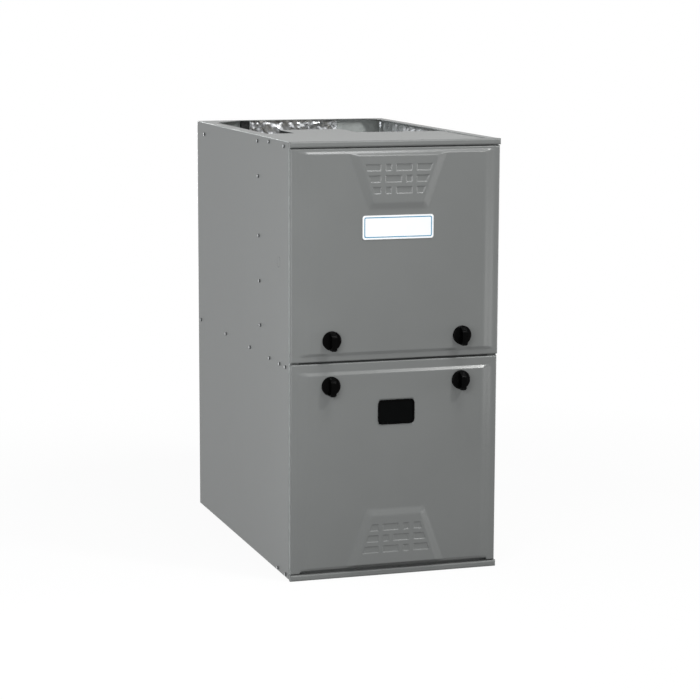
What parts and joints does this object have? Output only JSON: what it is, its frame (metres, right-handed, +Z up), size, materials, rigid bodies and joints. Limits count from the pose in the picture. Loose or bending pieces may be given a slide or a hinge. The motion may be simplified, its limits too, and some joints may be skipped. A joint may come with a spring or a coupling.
{
  "type": "forced air gas furnace",
  "caption": "Upright grey sheet-metal warm-air furnace with two pressed lift-off doors, black quarter-turn knobs, an open flanged top, burners, heat exchangers and a centrifugal blower inside.",
  "frame": {"origin": "centre of the casing footprint on the floor", "axes": "+Z up; the doors face -Y; +X to the right as seen from the front"},
  "size_m": [0.467, 0.7731, 0.889],
  "materials": {
    "cabinet_paint": "semi-gloss grey powder coat",
    "galvanised": "zinc-coated sheet",
    "foil": "foil-faced insulation",
    "tube_steel": "aluminised steel",
    "black_plastic": "moulded, matte",
    "rubber": "matte",
    "valve_alloy": "die-cast",
    "red_knob": "moulded",
    "ceramic": "glazed ceramic and bare rod",
    "motor_steel": "dark enamel",
    "shaft_steel": "ground",
    "pipe_white": "smooth",
    "capacitor_can": "drawn can",
    "circuit_board": "coated laminate",
    "badge_white": "smooth plate",
    "knob_black": "moulded",
    "dark_glass": "smoked clear"
  },
  "bodies": {
    "cabinet": {"casing_wrap": "cabinet_paint", "top_plate": "cabinet_paint", "base_rail": "cabinet_paint", "bottom_closure": "galvanised", "blower_shelf": "galvanised", "cell_panel": "galvanised", "tie_bar": "cabinet_paint", "air_baffle": "cabinet_paint", "back_liner": "foil", "side_liners": "foil", "primary_exchanger": "tube_steel", "hot_header": "tube_steel", "secondary_coil": "galvanised", "collector_box": "black_plastic", "burner_box": "galvanised", "burners": "tube_steel", "gas_manifold": "galvanised", "gas_valve": "valve_alloy", "igniter": "ceramic", "flame_sensor": "ceramic", "limit_switches": "black_plastic", "gas_grommet": "rubber", "inducer_housing": "black_plastic", "inducer_motor": "motor_steel", "vent_coupling": "rubber", "vent_pipe": "pipe_white", "vent_collar": "black_plastic", "intake_collar": "black_plastic", "pressure_switch": "black_plastic", "pressure_tube": "rubber", "condensate_trap": "black_plastic", "drain_hose": "rubber", "blower_housing": "galvanised", "blower_motor": "motor_steel", "motor_mount": "motor_steel", "capacitor": "capacitor_can", "control_bracket": "galvanised", "control_board": "circuit_board", "transformer": "motor_steel", "junction_box": "galvanised", "junction_box_cover": "galvanised", "door_switch": "black_plastic", "wiring": "rubber"},
    "upper_door": {"upper_door": "cabinet_paint", "upper_door_liner": "foil", "badge_plate": "badge_white"},
    "lower_door": {"lower_door": "cabinet_paint", "lower_door_liner": "foil", "sight_glass_frame": "knob_black", "sight_glass_lens": "dark_glass"},
    "upper_left_knob": {"upper_left_knob": "knob_black"},
    "upper_right_knob": {"upper_right_knob": "knob_black"},
    "lower_left_knob": {"lower_left_knob": "knob_black"},
    "lower_right_knob": {"lower_right_knob": "knob_black"},
    "blower_rotor": {"blower_wheel": "galvanised", "blower_shaft": "shaft_steel"},
    "inducer_rotor": {"inducer_wheel": "shaft_steel", "inducer_shaft": "shaft_steel"},
    "gas_valve_knob": {"gas_valve_knob": "red_knob"},
    "door_switch_plunger": {"door_switch_plunger": "pipe_white"}
  },
  "joints": [
    {"name": "upper_door_lift", "type": "slide", "parent": "cabinet", "child": "upper_door", "axis": [0, -1, 0], "range_m": [0, 0.3]},
    {"name": "lower_door_lift", "type": "slide", "parent": "cabinet", "child": "lower_door", "axis": [0, -1, 0], "range_m": [0, 0.3]},
    {"name": "upper_left_knob_turn", "type": "hinge", "parent": "upper_door", "child": "upper_left_knob", "pos_m": [-0.1375, -0.37, 0.491], "axis": [0, 1, 0], "range_deg": [0, 90]},
    {"name": "upper_right_knob_turn", "type": "hinge", "parent": "upper_door", "child": "upper_right_knob", "pos_m": [0.1405, -0.37, 0.491], "axis": [0, 1, 0], "range_deg": [0, 90]},
    {"name": "lower_left_knob_turn", "type": "hinge", "parent": "lower_door", "child": "lower_left_knob", "pos_m": [-0.139, -0.37, 0.399], "axis": [0, 1, 0], "range_deg": [0, 90]},
    {"name": "lower_right_knob_turn", "type": "hinge", "parent": "lower_door", "child": "lower_right_knob", "pos_m": [0.139, -0.37, 0.399], "axis": [0, 1, 0], "range_deg": [0, 90]},
    {"name": "blower_spin", "type": "hinge", "parent": "cabinet", "child": "blower_rotor", "pos_m": [0, 0.09, 0.235], "axis": [1, 0, 0], "continuous": true},
    {"name": "inducer_spin", "type": "hinge", "parent": "cabinet", "child": "inducer_rotor", "pos_m": [-0.025, -0.22, 0.555], "axis": [0, 1, 0], "continuous": true},
    {"name": "gas_valve_turn", "type": "hinge", "parent": "cabinet", "child": "gas_valve_knob", "pos_m": [0.158, -0.35, 0.66], "axis": [0, 1, 0], "range_deg": [0, 90]},
    {"name": "door_switch_press", "type": "slide", "parent": "cabinet", "child": "door_switch_plunger", "axis": [0, -1, 0], "range_m": [0, 0.006]}
  ],
  "couplings": [
    {"joint": "door_switch_press", "follows": "lower_door_lift", "ratio": 0.02}
  ]
}
